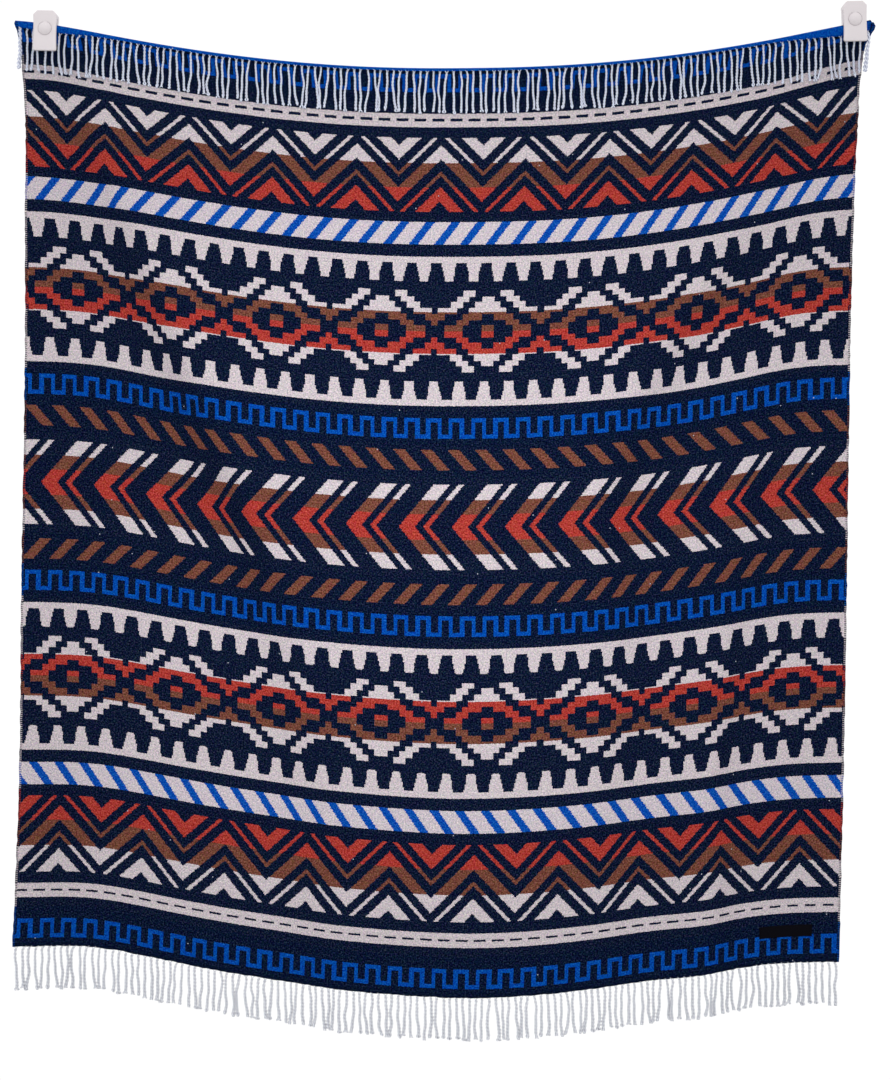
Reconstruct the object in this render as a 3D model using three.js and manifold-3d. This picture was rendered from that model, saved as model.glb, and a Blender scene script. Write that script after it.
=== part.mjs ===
// A throw blanket of double-woven wool cloth, hung by its two upper corners from a pair of plastic
// wall clips. The upper end is turned over to the front, so that its fringe hangs down over the
// face. The lower end hangs free, with a fringe of its own, and a small label is sewn on beside it.
//
// Millimetres. X runs to the right along the wall, Y points into the wall and Z is up. The wall is
// the plane y = 0, and the origin lies on it, halfway between the clips.

import * as THREE from "three";
import { mergeVertices } from "three/addons/utils/BufferGeometryUtils.js";
import Module from "manifold-3d";

const wasm = await Module();
wasm.setup();

// Driving sizes

const cloth = {
  width: 1270, // selvedge to selvedge, laid flat
  hang: 1356, // from the turned-over top down to the lower hem
  thickness: 2.4,
  turnRadius: 2.2, // of the middle of the cloth, where it turns over
  drawnIn: 0.005, // share by which the turned-over end is narrower than the cloth behind it
  turnLow: -65, // height of the turn where it hangs lowest
  restDepth: 11, // how far the cloth hangs off the wall where no fold lifts it
};

const clip = {
  spread: 594, // from the middle of the blanket to each clip
  leftHeight: -7,
  rightHeight: 6.8,
  lean: 0.025, // radians, each clip leans towards the other at its top
  width: 35,
  height: 59,
  waist: 0.8, // how far each long side is drawn in at its middle
  chamfer: 6,
  baseDepth: 13.4,
  jawThickness: 6,
  clothDepth: 15, // the middle of the main layer of cloth inside the clip
  mouth: 22, // from the wall to the inner face of the jaw
  headAt: 17.5, // the underside of its head, above its middle
};

const fringe = {
  strands: 130, // at each end
  length: 61,
  radius: 1.8,
  rootRadius: 1.1,
  cornerRadius: 2.9, // of the doubled strands at the two upper corners
  stripHeight: 3,
  leastSpace: 4.6, // between the tips of two neighbours
  gather: 3.6, // how far a tip leans towards its neighbour at most
  scatter: 6.5, // of the tips beyond that, from end to end
  bow: 5, // of a strand to one side, from end to end of its range
};

const label = {
  across: 492, // of its middle, from the middle of the blanket
  up: 38, // of its lower edge, above the hem
  width: 75,
  height: 17,
  thickness: 0.9,
  clear: 1.1, // of the cloth, whose faces are wide and flat here
};

const pieceGap = 0.3;

// How the cloth hangs. Every row holds for one level, measured down from the turned-over top.

// The two selvedges. The corners are pulled outwards by the clips.
const selvedges = [
  { down: 0, left: -640, right: 621 },
  { down: 30, left: -632, right: 612 },
  { down: 75, left: -628, right: 604 },
  { down: 130, left: -624, right: 600 },
  { down: 265, left: -623, right: 593 },
  { down: 560, left: -623, right: 585 },
  { down: 850, left: -626, right: 579 },
  { down: 1090, left: -628, right: 574 },
  { down: 1356, left: -638, right: 568 },
];

// The sag of the threads that run across. On each side they rise from the lowest place to the level
// of the clip, which they reach at the place `top`, and run on level from there to the selvedge.
const sagToLeft = [
  { down: 0, lowest: -15, rise: 74, top: -615, power: 1.9 },
  { down: 200, lowest: -5, rise: 69, top: -568, power: 1.95 },
  { down: 600, lowest: 5, rise: 67, top: -521, power: 2.05 },
  { down: 940, lowest: 10, rise: 71, top: -529, power: 1.75 },
  { down: 1356, lowest: 20, rise: 75, top: -524, power: 1.9 },
];
const sagToRight = [
  { down: 0, lowest: -15, rise: 81, top: 645, power: 2.1 },
  { down: 200, lowest: -5, rise: 74, top: 569, power: 2.25 },
  { down: 600, lowest: 5, rise: 58, top: 502, power: 2.3 },
  { down: 940, lowest: 10, rise: 54, top: 505, power: 1.9 },
  { down: 1356, lowest: 20, rise: 53, top: 514, power: 1.55 },
];

// The soft folds, which run down and inwards from the clips. At each of the levels, a fold's crest
// lies at `across` and stands `lift` forward. It falls away over `leftWidth` and `rightWidth`.
const foldLevels = [0, 250, 550, 850, 1356];
const folds = {
  leftSelvedge: {
    across: [-640, -626, -625, -628, -640],
    lift: [2, 14, 22, 36, 40],
    leftWidth: 80,
    rightWidth: 80,
  },
  leftPull: {
    across: [-540, -455, -330, -215, -150],
    lift: [3, 40, 52, 36, 20],
    leftWidth: 60,
    rightWidth: 230,
  },
  middle: {
    across: [0, 20, 40, 60, 90],
    lift: [8, 12, 10, 20, 32],
    leftWidth: 150,
    rightWidth: 150,
  },
  rightPull: {
    across: [540, 420, 238, 215, 205],
    lift: [3, 16, 32, 26, 12],
    leftWidth: 180,
    rightWidth: 55,
  },
  rightLow: {
    across: [560, 520, 440, 392, 372],
    lift: [2, 8, 8, 22, 26],
    leftWidth: 60,
    rightWidth: 38,
  },
  rightSelvedge: {
    across: [621, 596, 587, 581, 570],
    lift: [2, 12, 18, 32, 34],
    leftWidth: 80,
    rightWidth: 80,
  },
};

// How much of the upper end lies in front of the turn: most at the clips, where it was pushed in.
const turnedOver = [
  { share: 0, length: 6 },
  { share: 0.045, length: 7.5 },
  { share: 0.09, length: 3 },
  { share: 0.15, length: 1.4 },
  { share: 0.25, length: 0.9 },
  { share: 0.5, length: 0.6 },
  { share: 0.75, length: 0.8 },
  { share: 0.85, length: 1.5 },
  { share: 0.9, length: 3.2 },
  { share: 0.945, length: 9 },
  { share: 0.975, length: 12 },
  { share: 1, length: 11 },
];

// Reading the tables

// A smooth curve through the rows of a table, flat beyond its first and last row.
function between(rows, key, at, column) {
  const last = rows.length - 1;
  if (at <= rows[0][key]) return rows[0][column];
  if (at >= rows[last][key]) return rows[last][column];
  let i = 0;
  while (rows[i + 1][key] < at) i += 1;
  const [a, b] = [rows[i], rows[i + 1]];
  const slope = (p, q) => (q[column] - p[column]) / (q[key] - p[key]);
  const span = b[key] - a[key];
  const here = slope(a, b);
  const before = i > 0 ? (slope(rows[i - 1], a) + here) / 2 : here;
  const after = i + 1 < last ? (here + slope(b, rows[i + 2])) / 2 : here;
  const t = (at - a[key]) / span;
  const fromA = a[column] + before * span * t;
  const fromB = b[column] - after * span * (1 - t);
  const ease = t * t * (3 - 2 * t);
  return fromA + (fromB - fromA) * ease;
}

function foldValue(fold, column, down) {
  const rows = foldLevels.map((level, i) => ({ down: level, value: fold[column][i] }));
  return between(rows, "down", down, "value");
}

const smoothStep = (t) => {
  const c = Math.min(1, Math.max(0, t));
  return c * c * (3 - 2 * c);
};

// The hanging surface, which is the middle of the cloth

// How far the cloth at `across` stands above the lowest point of its level.
function riseAt(across, down) {
  const lowest = between(sagToLeft, "down", down, "lowest");
  const sag = across < lowest ? sagToLeft : sagToRight;
  const read = (column) => between(sag, "down", down, column);
  const share = Math.max(0, (across - lowest) / (read("top") - lowest));
  const free = share ** read("power");
  const sharpness = 9;
  const levelled = free / (1 + free ** sharpness) ** (1 / sharpness);
  return levelled * read("rise");
}

// 1 inside a clip, easing to 0 where the cloth is free of it.
function heldByClip(across, down) {
  const flat = { aside: 24, below: 52 };
  const ease = { aside: 75, below: 130 };
  const aside = Math.max(0, Math.abs(Math.abs(across) - clip.spread) - flat.aside) / ease.aside;
  const below = Math.max(0, down - flat.below) / ease.below;
  return 1 - smoothStep(Math.hypot(aside, below));
}

// How far the cloth stands off the wall.
function depthAt(across, down) {
  let depth = cloth.restDepth;
  for (const fold of Object.values(folds)) {
    const aside = across - foldValue(fold, "across", down);
    const width = aside < 0 ? fold.leftWidth : fold.rightWidth;
    depth += foldValue(fold, "lift", down) * Math.exp(-((aside / width) ** 2));
  }
  const held = heldByClip(across, down);
  return depth + (clip.clothDepth - depth) * held;
}

function surfacePoint(across, down) {
  const level = cloth.turnLow - down;
  return new THREE.Vector3(across, -depthAt(across, down), level + riseAt(across, down));
}

// The threads that run across keep their length, so they bunch up where the cloth folds. This
// gives the place of each of the shares of the cloth's width, at one level.
function acrossAtShares(shares, down) {
  const samples = 240;
  const left = between(selvedges, "down", down, "left");
  const right = between(selvedges, "down", down, "right");
  const places = [left];
  const lengths = [0];
  let last = surfacePoint(left, down);
  for (let i = 1; i <= samples; i += 1) {
    const place = left + ((right - left) * i) / samples;
    const point = surfacePoint(place, down);
    places.push(place);
    lengths.push(lengths[i - 1] + point.distanceTo(last));
    last = point;
  }
  return shares.map((share) => {
    const wanted = share * lengths[samples];
    let i = 0;
    while (i < samples - 1 && lengths[i + 1] < wanted) i += 1;
    const t = (wanted - lengths[i]) / (lengths[i + 1] - lengths[i]);
    return places[i] + (places[i + 1] - places[i]) * t;
  });
}

const turnedLength = (share) => between(turnedOver, "share", share, "length");

// The end of the cloth that is turned over to the front, `turn` of a half circle round from the
// main layer and then `drop` down.
function turnedPoint(across, turn, drop) {
  const narrowed = across * (1 - cloth.drawnIn * turn);
  const start = surfacePoint(narrowed, 0);
  const beside = surfacePoint(narrowed + 1, 0).sub(surfacePoint(narrowed - 1, 0));
  const forward = new THREE.Vector3(beside.y, -beside.x, 0).normalize();
  const angle = Math.PI * turn;
  return start
    .addScaledVector(forward, cloth.turnRadius * (1 - Math.cos(angle)))
    .add(new THREE.Vector3(0, 0, cloth.turnRadius * Math.sin(angle) - drop));
}

// Solids from grids of points

function indexed(vertices, triangles) {
  const geometry = new THREE.BufferGeometry();
  geometry.setAttribute("position", new THREE.Float32BufferAttribute(vertices, 3));
  geometry.setIndex(triangles);
  return geometry;
}

// A sheet of an even thickness around rows of points. The rows run down the front of the cloth,
// and each row from left to right.
function sheetGeometry(rows, thickness) {
  const rowCount = rows.length;
  const columnCount = rows[0].length;
  const clamp = (i, count) => Math.min(count - 1, Math.max(0, i));
  const faces = [1, -1].map((side) =>
    rows.flatMap((row, r) =>
      row.flatMap((point, c) => {
        const along = row[clamp(c + 1, columnCount)].clone().sub(row[clamp(c - 1, columnCount)]);
        const down = rows[clamp(r + 1, rowCount)][c].clone().sub(rows[clamp(r - 1, rowCount)][c]);
        const normal = down.cross(along).normalize();
        return point.clone().addScaledVector(normal, (side * thickness) / 2).toArray();
      }),
    ),
  );
  const size = rowCount * columnCount;
  const at = (side, r, c) => side * size + r * columnCount + c;
  const triangles = [];
  const quad = (a, b, c, d) => triangles.push(a, b, c, a, c, d);
  for (let r = 0; r < rowCount - 1; r += 1) {
    for (let c = 0; c < columnCount - 1; c += 1) {
      quad(at(0, r, c), at(0, r + 1, c), at(0, r + 1, c + 1), at(0, r, c + 1));
      quad(at(1, r, c), at(1, r, c + 1), at(1, r + 1, c + 1), at(1, r + 1, c));
    }
    const end = columnCount - 1;
    quad(at(0, r, 0), at(1, r, 0), at(1, r + 1, 0), at(0, r + 1, 0));
    quad(at(0, r, end), at(0, r + 1, end), at(1, r + 1, end), at(1, r, end));
  }
  for (let c = 0; c < columnCount - 1; c += 1) {
    const end = rowCount - 1;
    quad(at(0, 0, c), at(0, 0, c + 1), at(1, 0, c + 1), at(1, 0, c));
    quad(at(0, end, c), at(1, end, c), at(1, end, c + 1), at(0, end, c + 1));
  }
  return indexed([...faces[0], ...faces[1]], triangles);
}

// Joining and cutting

function solidOf(geometry) {
  const bare = geometry.clone();
  bare.deleteAttribute("normal");
  bare.deleteAttribute("uv");
  const merged = mergeVertices(bare, 1e-4);
  return new wasm.Manifold(
    new wasm.Mesh({
      numProp: 3,
      vertProperties: merged.attributes.position.array,
      triVerts: new Uint32Array(merged.index.array),
    }),
  );
}

function geometryOf(solid) {
  const mesh = solid.getMesh();
  return indexed(Array.from(mesh.vertProperties), Array.from(mesh.triVerts));
}

// Materials

const finishes = {
  cloth: new THREE.MeshStandardMaterial({ color: "rgb(14, 24, 50)", roughness: 0.95, metalness: 0 }),
  yarn: new THREE.MeshStandardMaterial({ color: "rgb(205, 208, 218)", roughness: 0.95, metalness: 0 }),
  label: new THREE.MeshStandardMaterial({ color: "rgb(10, 11, 20)", roughness: 0.8, metalness: 0 }),
  plastic: new THREE.MeshStandardMaterial({ color: "rgb(228, 223, 223)", roughness: 0.45, metalness: 0 }),
};

const blanket = new THREE.Group();

function addPiece(parent, name, geometry, finish) {
  const mesh = new THREE.Mesh(geometry, finish);
  mesh.name = name;
  parent.add(mesh);
}

// The cloth, one length from the edge that is turned over to the lower hem

const columns = 44;
const turnSteps = 4;
const mainRows = 22;
const columnShares = Array.from({ length: columns + 1 }, (_, i) => i / columns);

// Rows lie close together under the turn, where the clips shape the cloth, and wider below.
const rowDowns = Array.from({ length: mainRows + 1 }, (_, i) => {
  const t = i / mainRows;
  return cloth.hang * (0.55 * t + 0.45 * t * t);
});

// A row of points on the turned-over end, one for each of the shares of the width.
function turnedRow(shares, turn, dropAt) {
  return acrossAtShares(shares, 0).map((across, i) => turnedPoint(across, turn, dropAt(shares[i])));
}

function mainRow(shares, down) {
  return acrossAtShares(shares, down).map((across) => surfacePoint(across, down));
}

function clothRows() {
  const rows = [turnedRow(columnShares, 1, turnedLength)];
  for (let i = turnSteps; i > 0; i -= 1) rows.push(turnedRow(columnShares, i / turnSteps, () => 0));
  for (const down of rowDowns) rows.push(mainRow(columnShares, down));
  return rows;
}

addPiece(blanket, "blanket", sheetGeometry(clothRows(), cloth.thickness), finishes.cloth);

// The fringes. Each is the cloth's last picks, a narrow strip, with the twisted warp hanging from it.

// The same numbers every time, from 0 to 1.
function numberSource(seed) {
  let state = seed;
  return () => {
    state = (state * 16807) % 2147483647;
    return state / 2147483647;
  };
}

// A three-sided strand along a short path, which is as thick at each point as its radius there.
function strandSolid(path, radii) {
  const sides = 3;
  const vertices = [];
  const triangles = [];
  path.forEach((point, i) => {
    for (let k = 0; k < sides; k += 1) {
      const angle = (2 * Math.PI * k) / sides + Math.PI / 2;
      const outward = new THREE.Vector3(Math.cos(angle), -Math.sin(angle), 0);
      vertices.push(...point.clone().addScaledVector(outward, radii[i]).toArray());
    }
  });
  const ring = (i, k) => i * sides + (k % sides);
  for (let i = 0; i < path.length - 1; i += 1) {
    for (let k = 0; k < sides; k += 1) {
      triangles.push(ring(i, k), ring(i, k + 1), ring(i + 1, k + 1));
      triangles.push(ring(i, k), ring(i + 1, k + 1), ring(i + 1, k));
    }
  }
  const end = path.length - 1;
  triangles.push(ring(0, 2), ring(0, 1), ring(0, 0));
  triangles.push(ring(end, 0), ring(end, 1), ring(end, 2));
  return solidOf(indexed(vertices, triangles));
}

const strandShares = Array.from({ length: fringe.strands }, (_, i) => (i + 0.5) / fringe.strands);

// How far along the wall the tip of each strand hangs. Neighbours lean together in twos and
// threes, but their tips stay apart.
function tipPlaces(roots, random) {
  const leanings = [1, 0, -1];
  const tips = roots.map((root, i) => {
    const together = leanings[i % leanings.length] * fringe.gather * random();
    return root.x + together + fringe.scatter * (random() - 0.5);
  });
  for (let i = 1; i < tips.length; i += 1) {
    tips[i] = Math.max(tips[i], tips[i - 1] + fringe.leastSpace);
  }
  return tips;
}

// A strand leaves the strip straight down, bows a little to one side and drifts towards its tip.
const strandStations = [0, 0.3, 0.65, 1];

function strandPath(root, tip, length, bow, standOff) {
  return strandStations.map((t) => {
    const drift = (tip - root.x) * t ** 1.6;
    const x = root.x + drift + bow * Math.sin(Math.PI * t);
    return new THREE.Vector3(x, root.y - standOff(root, x, length * t), root.z - length * t);
  });
}

function fringeGeometry({ stripRows, roots, seed, standOff, cornerRadius }) {
  const random = numberSource(seed);
  const tips = tipPlaces(roots, random);
  const strands = roots.map((root, i) => {
    const length = fringe.length * (0.96 + 0.08 * random());
    const bow = fringe.bow * (random() - 0.5);
    const atCorner = i === 0 || i === roots.length - 1;
    const radius = atCorner ? cornerRadius : fringe.radius;
    const radii = strandStations.map((t) => (t === 0 ? fringe.rootRadius : radius));
    return strandSolid(strandPath(root, tips[i], length, bow, standOff), radii);
  });
  const strip = solidOf(sheetGeometry(stripRows, cloth.thickness));
  return geometryOf(wasm.Manifold.union([strip, ...strands]));
}

const stripTop = pieceGap;
const stripEnd = pieceGap + fringe.stripHeight;

// The strip's edges run straight from one column of the cloth to the next.
function facetedLength(share) {
  const at = share * columns;
  const before = Math.floor(at);
  const [a, b] = [before, before + 1].map((column) => turnedLength(column / columns));
  return a + (b - a) * (at - before);
}

// The upper fringe lies in front of the cloth, and is pushed forward where a fold stands behind it.
const layerSpace = cloth.thickness / 2 + fringe.radius + 1;

function clearOfCloth(root, across, below) {
  const down = cloth.turnLow + riseAt(across, 0) - (root.z - below);
  const clothFront = depthAt(across, Math.max(0, down)) + layerSpace;
  return Math.max(0, clothFront + root.y);
}

const upperFringe = fringeGeometry({
  stripRows: [stripTop, stripEnd].map((drop) =>
    turnedRow(columnShares, 1, (share) => turnedLength(share) + drop),
  ),
  roots: turnedRow(strandShares, 1, (share) => facetedLength(share) + stripTop + fringe.stripHeight / 2),
  seed: 71,
  standOff: clearOfCloth,
  cornerRadius: fringe.cornerRadius,
});
addPiece(blanket, "fringe_top", upperFringe, finishes.yarn);

// The lower fringe hangs free below the hem.
function hemRow(shares, drop) {
  return mainRow(shares, cloth.hang).map((point) => point.add(new THREE.Vector3(0, 0, -drop)));
}

const lowerFringe = fringeGeometry({
  stripRows: [stripTop, stripEnd].map((drop) => hemRow(columnShares, drop)),
  roots: hemRow(strandShares, fringe.stripHeight / 2),
  seed: 1907,
  standOff: () => 0,
  cornerRadius: fringe.radius,
});
addPiece(blanket, "fringe_bottom", lowerFringe, finishes.yarn);

// The label, a short band sewn flat to the front of the cloth above the hem

function labelRows() {
  const stepsAcross = 8;
  const stepsDown = 2;
  const lift = cloth.thickness / 2 + label.clear + label.thickness / 2;
  const lowest = cloth.hang - label.up;
  const rows = [];
  for (let r = 0; r <= stepsDown; r += 1) {
    const down = lowest - label.height * (1 - r / stepsDown);
    const row = [];
    for (let c = 0; c <= stepsAcross; c += 1) {
      const across = label.across + label.width * (c / stepsAcross - 0.5);
      const point = surfacePoint(across, down);
      const beside = surfacePoint(across + 1, down).sub(surfacePoint(across - 1, down));
      const forward = new THREE.Vector3(beside.y, -beside.x, 0).normalize();
      row.push(point.addScaledVector(forward, lift));
    }
    rows.push(row);
  }
  return rows;
}

addPiece(blanket, "label", sheetGeometry(labelRows(), label.thickness), finishes.label);

// The wall clips. Each has a base on the wall with a head at its top, a jaw that the head carries
// in front of the cloth, and a domed button set into the jaw.

// A plate's outline, with cut upper corners and long sides that are drawn in a little.
function plateOutline(width, height) {
  const half = width / 2;
  const top = height / 2;
  const round = 2;
  const waist = half - 2 * clip.waist;
  const outline = new THREE.Shape();
  outline.moveTo(-half + round, -top);
  outline.lineTo(half - round, -top);
  outline.quadraticCurveTo(half, -top, half, -top + round);
  outline.quadraticCurveTo(waist, 0, half, top - clip.chamfer);
  outline.lineTo(half - clip.chamfer, top);
  outline.lineTo(-half + clip.chamfer, top);
  outline.lineTo(-half, top - clip.chamfer);
  outline.quadraticCurveTo(-waist, 0, -half, -top + round);
  outline.quadraticCurveTo(-half, -top, -half + round, -top);
  return outline;
}

// A plate with that outline, from the depth `near` to the depth `far`, both measured off the wall.
function plateSolid(near, far) {
  const bevel = 1;
  const geometry = new THREE.ExtrudeGeometry(plateOutline(clip.width, clip.height), {
    depth: far - near - 2 * bevel,
    bevelThickness: bevel,
    bevelSize: bevel,
    bevelOffset: -bevel,
    bevelSegments: 1,
    curveSegments: 4,
  });
  geometry.translate(0, 0, near + bevel);
  geometry.rotateX(Math.PI / 2);
  return solidOf(geometry);
}

function boxSolid(width, near, far, low, high) {
  const geometry = new THREE.BoxGeometry(width, far - near, high - low);
  geometry.translate(0, -(near + far) / 2, (low + high) / 2);
  return solidOf(geometry);
}

const button = { radius: 9.6, rise: 4, seat: 1.2, up: 3, sides: 20 };

// The head is the part of the clip that stands above the cloth, as deep as the jaw allows.
function clipBaseGeometry() {
  const belowHead = clip.height + clip.headAt;
  const below = boxSolid(clip.width + 2, clip.baseDepth, clip.mouth, -belowHead, clip.headAt);
  return geometryOf(plateSolid(0, clip.mouth - pieceGap).subtract(below));
}

function clipJawGeometry() {
  const outer = clip.mouth + clip.jawThickness;
  const padInset = 4;
  const pad = boxSolid(clip.width - 2 * padInset, clip.mouth - 1.1, clip.mouth + 1, -3, 5);
  const seatRadius = button.radius + pieceGap;
  const seat = new THREE.CylinderGeometry(seatRadius, seatRadius, 2 * button.seat, button.sides);
  seat.translate(0, -outer, button.up);
  return geometryOf(plateSolid(clip.mouth, outer).add(pad).subtract(solidOf(seat)));
}

function buttonGeometry() {
  const floor = clip.mouth + clip.jawThickness - button.seat + pieceGap;
  const height = button.seat - pieceGap + button.rise;
  const profile = [
    new THREE.Vector2(0, 0),
    new THREE.Vector2(button.radius, 0),
    new THREE.Vector2(button.radius, height - 2.6),
    new THREE.Vector2(button.radius - 1.4, height - 1.1),
    new THREE.Vector2(button.radius - 4.5, height - 0.3),
    new THREE.Vector2(0, height),
  ];
  const geometry = new THREE.LatheGeometry(profile, button.sides);
  geometry.rotateX(Math.PI);
  geometry.translate(0, -floor, button.up);
  return geometryOf(solidOf(geometry));
}

function addClip(side, across, height, lean) {
  const assembly = new THREE.Group();
  assembly.position.set(across, 0, height);
  assembly.rotation.y = lean;
  addPiece(assembly, `clip_${side}_base`, clipBaseGeometry(), finishes.plastic);
  addPiece(assembly, `clip_${side}_jaw`, clipJawGeometry(), finishes.plastic);
  addPiece(assembly, `clip_${side}_button`, buttonGeometry(), finishes.plastic);
  blanket.add(assembly);
}

addClip("left", -clip.spread, clip.leftHeight, clip.lean);
addClip("right", clip.spread, clip.rightHeight, -clip.lean);

export default blanket;
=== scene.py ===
"""A throw blanket of double-woven wool, hung by its two upper corners from white wall clips.

The upper end is turned over to the front. Metres, with Z up. The wall is the plane y = 0, and the
origin lies on it, halfway between the clips.
"""

import math

import bpy
import numpy as np
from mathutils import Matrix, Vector


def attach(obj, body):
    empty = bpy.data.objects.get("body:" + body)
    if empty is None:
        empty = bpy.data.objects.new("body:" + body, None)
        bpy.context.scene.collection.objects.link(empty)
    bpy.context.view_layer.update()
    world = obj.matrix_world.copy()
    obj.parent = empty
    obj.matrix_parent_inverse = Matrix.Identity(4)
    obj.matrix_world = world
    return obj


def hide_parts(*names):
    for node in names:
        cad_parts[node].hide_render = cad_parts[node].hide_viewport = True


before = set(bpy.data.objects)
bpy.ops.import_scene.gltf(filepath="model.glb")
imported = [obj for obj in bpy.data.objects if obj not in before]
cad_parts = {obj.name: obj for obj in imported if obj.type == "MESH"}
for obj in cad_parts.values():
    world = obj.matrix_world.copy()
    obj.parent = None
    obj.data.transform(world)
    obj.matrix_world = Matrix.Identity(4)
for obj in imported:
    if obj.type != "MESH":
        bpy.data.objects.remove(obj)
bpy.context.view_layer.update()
mm = 0.001

# The camera stands square to the wall, about four and a half metres from it.
# The photograph takes in 1307 mm by 1584 mm of the wall, a little to the left of the middle.

PHOTO_SIZE = (891, 1080)
VIEW_WIDTH = 1307 * mm
VIEW_HEIGHT = VIEW_WIDTH * PHOTO_SIZE[1] / PHOTO_SIZE[0]
VIEW_MIDDLE = (-6.6 * mm, -754 * mm)
CAMERA_DISTANCE = 4500 * mm
CLOTH_FRONT = 23 * mm
SENSOR = 36

camera_data = bpy.data.cameras.new("camera")
camera_data.sensor_width = SENSOR
camera_data.lens = SENSOR * (CAMERA_DISTANCE - CLOTH_FRONT) / VIEW_HEIGHT
camera = bpy.data.objects.new("camera", camera_data)
camera.location = (VIEW_MIDDLE[0], -CAMERA_DISTANCE, VIEW_MIDDLE[1])
camera.rotation_euler = (math.radians(90), 0, 0)
bpy.context.scene.collection.objects.link(camera)
bpy.context.scene.camera = camera

# The studio is a white surround, on the camera's side brighter above than below, with a pale floor
# 36 cm below the fringe. One broad gridded lamp above the camera makes the middle of the throw a
# little lighter than its edges.

SURROUND = {"light": 1.03, "contrast": 0.5}
LAMP = {
    "place": (-0.2, -2.6, 0.1),
    "aim": (-0.03, 0, -0.7),
    "size": 0.9,
    "spread": 38,
    "power": 2.15,
}
FLOOR = {"height": -1850 * mm, "half": (1700 * mm, 900 * mm), "tone": (208, 208, 208)}


def linear(*tone):
    """A colour as it looks on a screen, 0 to 255, turned into the light that it sends back."""
    shares = [value / 255 for value in tone]
    return tuple(s / 12.92 if s <= 0.04045 else ((s + 0.055) / 1.055) ** 2.4 for s in shares)


class Draft:
    """A number worked out in shader nodes, by sums and comparisons written as for any number."""

    def __init__(self, socket):
        self.socket = socket

    def reckon(self, operation, *others):
        tree = self.socket.id_data
        node = tree.nodes.new("ShaderNodeMath")
        node.operation = operation
        for slot, value in zip(node.inputs, (self, *others)):
            if isinstance(value, Draft):
                tree.links.new(value.socket, slot)
            else:
                slot.default_value = value
        return Draft(node.outputs[0])

    def __add__(self, other):
        return self.reckon("ADD", other)

    def __sub__(self, other):
        return self.reckon("SUBTRACT", other)

    def __mul__(self, other):
        return self.reckon("MULTIPLY", other)

    def __truediv__(self, other):
        return self.reckon("DIVIDE", other)

    def __mod__(self, other):
        return self.reckon("FLOORED_MODULO", other)

    def __lt__(self, other):
        return self.reckon("LESS_THAN", other)

    def __gt__(self, other):
        return self.reckon("GREATER_THAN", other)

    def __abs__(self):
        return self.reckon("ABSOLUTE")

    def __and__(self, other):
        return self.reckon("MULTIPLY", other)

    def __or__(self, other):
        return self.reckon("MAXIMUM", other)

    def stepped(self, size):
        """The same number, in even steps."""
        return (self / size).reckon("FLOOR") * size + size / 2

    def rest(self):
        """What is left of it to 1."""
        return self * -1 + 1


def split(tree, socket, kind="XYZ"):
    """The three numbers of a place or a colour."""
    parts = tree.nodes.new("ShaderNodeSeparate" + kind)
    tree.links.new(socket, parts.inputs[0])
    return [Draft(output) for output in parts.outputs]


def new_finish(name, roughness, specular=0.5):
    """A material, its shader and the tree of nodes that the shader stands in."""
    material = bpy.data.materials.new(name)
    material.use_nodes = True
    tree = material.node_tree
    shader = tree.nodes["Principled BSDF"]
    shader.inputs["Roughness"].default_value = roughness
    shader.inputs["Specular IOR Level"].default_value = specular
    return material, shader, tree


lamp_data = bpy.data.lights.new("lamp_above", "AREA")
lamp_data.shape = "DISK"
lamp_data.size = LAMP["size"]
lamp_data.spread = math.radians(LAMP["spread"])
lamp_data.energy = LAMP["power"]
lamp = bpy.data.objects.new("lamp_above", lamp_data)
lamp.location = LAMP["place"]
beam = Vector(LAMP["aim"]) - Vector(LAMP["place"])
lamp.rotation_euler = beam.to_track_quat("-Z", "Y").to_euler()
bpy.context.scene.collection.objects.link(lamp)

surround = bpy.data.worlds.new("studio")
surround.use_nodes = True
surround_tree = surround.node_tree
background = surround_tree.nodes["Background"]
background.inputs["Color"].default_value = (1, 1, 1, 1)
facing = surround_tree.nodes.new("ShaderNodeTexCoord").outputs["Generated"]
_, wallwards, upwards = split(surround_tree, facing)
upwards_on_camera_side = upwards * (wallwards * -0.5 + 0.5)
brightness = upwards_on_camera_side * SURROUND["contrast"] + SURROUND["light"]
surround_tree.links.new(brightness.socket, background.inputs["Strength"])
bpy.context.scene.world = surround
bpy.context.scene.view_settings.view_transform = "Standard"

floor_mesh = bpy.data.meshes.new("floor")
floor_corners = [(-1, -1), (1, -1), (1, 1), (-1, 1)]
half_width, half_depth = FLOOR["half"]
floor_places = [(x * half_width, y * half_depth, FLOOR["height"]) for x, y in floor_corners]
floor_mesh.from_pydata(floor_places, [], [(0, 1, 2, 3)])
floor = bpy.data.objects.new("floor", floor_mesh)
floor_paint, floor_shader, _ = new_finish("pale_floor", roughness=0.9)
floor_shader.inputs["Base Color"].default_value = (*linear(*FLOOR["tone"]), 1)
floor_mesh.materials.append(floor_paint)
bpy.context.scene.collection.objects.link(floor)

# The cloth of the throw is one length of jacquard double cloth in brushed wool. It hangs from its
# clips in soft folds, and its upper end is turned over to the front, where its bright reverse shows.

CLOTH_WIDTH = 1270
CLOTH_LENGTH = 1372
CLOTH_THICKNESS = 2.4
CLOTH_HANG = 1356
TURN_RADIUS = 2.2
DRAWN_IN = 0.005
TURN_LOW = -65
REST_DEPTH = 11
CLIP_SPREAD = 594
CLIP_DEPTH = 15
CLIP_HOLD = {"half_width": 24, "ease_aside": 75, "low": 52, "ease_below": 130}
LAST_PICKS = 0.5
MEASURED_PLACES = 241

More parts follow.
